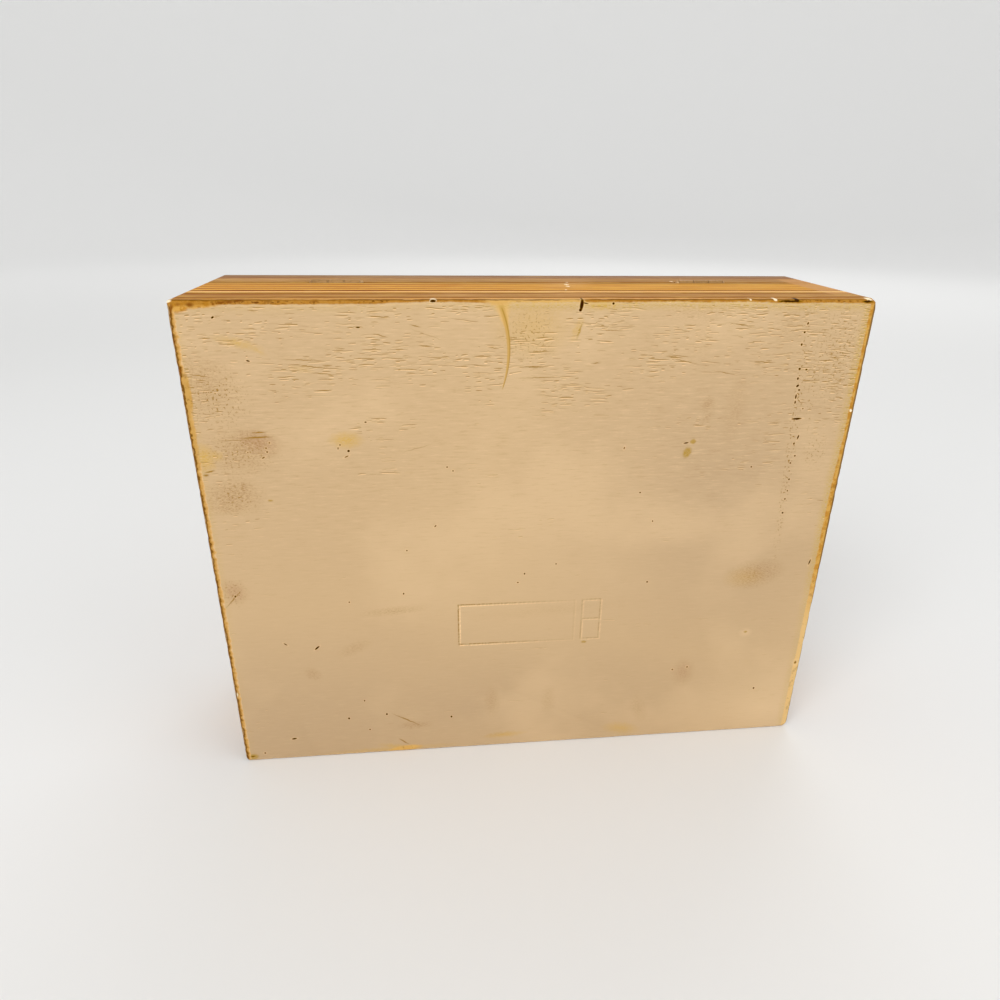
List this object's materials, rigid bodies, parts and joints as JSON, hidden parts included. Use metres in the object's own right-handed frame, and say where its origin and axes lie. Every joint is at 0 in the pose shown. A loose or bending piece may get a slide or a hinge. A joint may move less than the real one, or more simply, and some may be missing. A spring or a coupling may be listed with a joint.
{
  "type": "wooden trinket box",
  "caption": "Low rectangular wooden box with mitred walls, a pale strip round the body, a painted base and a hinged lid, standing on its front wall with the base showing.",
  "frame": {"origin": "centre of the footprint at the lowest point of the box as it stands on its front wall", "axes": "+X along the long side, +Y from the base to the lid, +Z from the front wall up to the hinge wall"},
  "size_m": [0.25, 0.076, 0.199],
  "materials": {
    "base_paint": "beige-cream paint over thin board, finely cracked along the grain, yellow varnish round its edges",
    "body_wood": "varnished wood in brown and orange bands",
    "pale_strip": "pale varnished strip",
    "lid_wood": "varnished tan-brown wood",
    "hinge_brass": "old brass, dulled and varnished over",
    "hinge_pin": "brass, rubbed bright on its heads",
    "fastener_steel": "dull steel"
  },
  "bodies": {
    "box": {"base_panel": "base_paint", "body_front_wall": "body_wood", "body_back_wall": "body_wood", "body_left_wall": "body_wood", "body_right_wall": "body_wood", "body_front_strip": "pale_strip", "body_back_strip": "pale_strip", "body_left_strip": "pale_strip", "body_right_strip": "pale_strip", "left_hinge_body_leaf": "hinge_brass", "left_hinge_pin": "hinge_pin", "left_hinge_body_screw_1": "fastener_steel", "left_hinge_body_screw_2": "fastener_steel", "right_hinge_body_leaf": "hinge_brass", "right_hinge_pin": "hinge_pin", "right_hinge_body_screw_1": "fastener_steel", "right_hinge_body_screw_2": "fastener_steel", "front_brad_1": "fastener_steel", "front_brad_2": "fastener_steel", "front_brad_3": "fastener_steel", "front_brad_4": "fastener_steel", "back_brad_1": "fastener_steel", "back_brad_2": "fastener_steel", "back_brad_3": "fastener_steel", "back_brad_4": "fastener_steel", "left_brad_1": "fastener_steel", "left_brad_2": "fastener_steel", "right_brad_1": "fastener_steel", "right_brad_2": "fastener_steel"},
    "lid": {"lid_board": "lid_wood", "lid_front_rail": "lid_wood", "lid_back_rail": "lid_wood", "lid_left_rail": "lid_wood", "lid_right_rail": "lid_wood", "left_hinge_lid_leaf": "hinge_brass", "left_hinge_lid_screw_1": "fastener_steel", "left_hinge_lid_screw_2": "fastener_steel", "right_hinge_lid_leaf": "hinge_brass", "right_hinge_lid_screw_1": "fastener_steel", "right_hinge_lid_screw_2": "fastener_steel"}
  },
  "joints": [
    {"name": "lid_hinge", "type": "hinge", "parent": "box", "child": "lid", "pos_m": [0, 0.0103, 0.1976], "axis": [1, 0, 0], "range_deg": [0, 100]}
  ]
}
